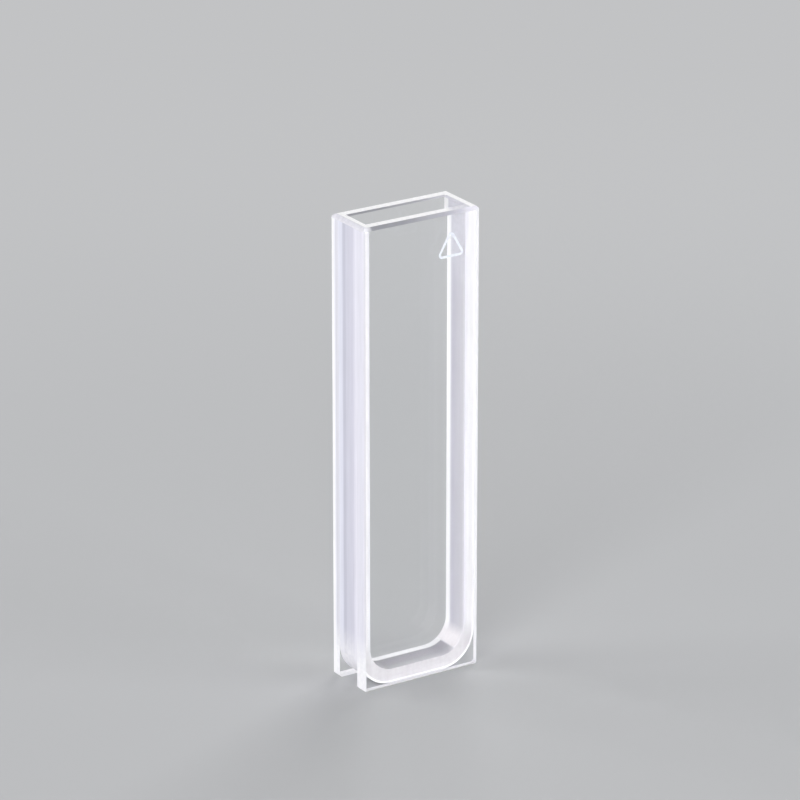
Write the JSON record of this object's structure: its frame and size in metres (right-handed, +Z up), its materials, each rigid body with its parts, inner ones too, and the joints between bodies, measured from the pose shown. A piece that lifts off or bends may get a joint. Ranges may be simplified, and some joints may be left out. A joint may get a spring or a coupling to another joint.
{
  "type": "cuvette",
  "caption": "Upright square-cornered measuring cell: clear windows front and rear, fused to a frosted U-shaped frame, open at the top.",
  "frame": {"origin": "centre of the base, on the surface that the cell stands on", "axes": "+Z up to the open rim, Y along the light path with the front window on -Y, X across the width"},
  "size_m": [0.0126, 0.0054, 0.045],
  "materials": {
    "polished_silica": "optically polished faces, clear and colourless, with ground edges",
    "ground_silica": "fine ground, frosted white"
  },
  "bodies": {
    "root": {"front_window": "polished_silica", "rear_window": "polished_silica", "u_frame": "ground_silica"}
  },
  "joints": []
}
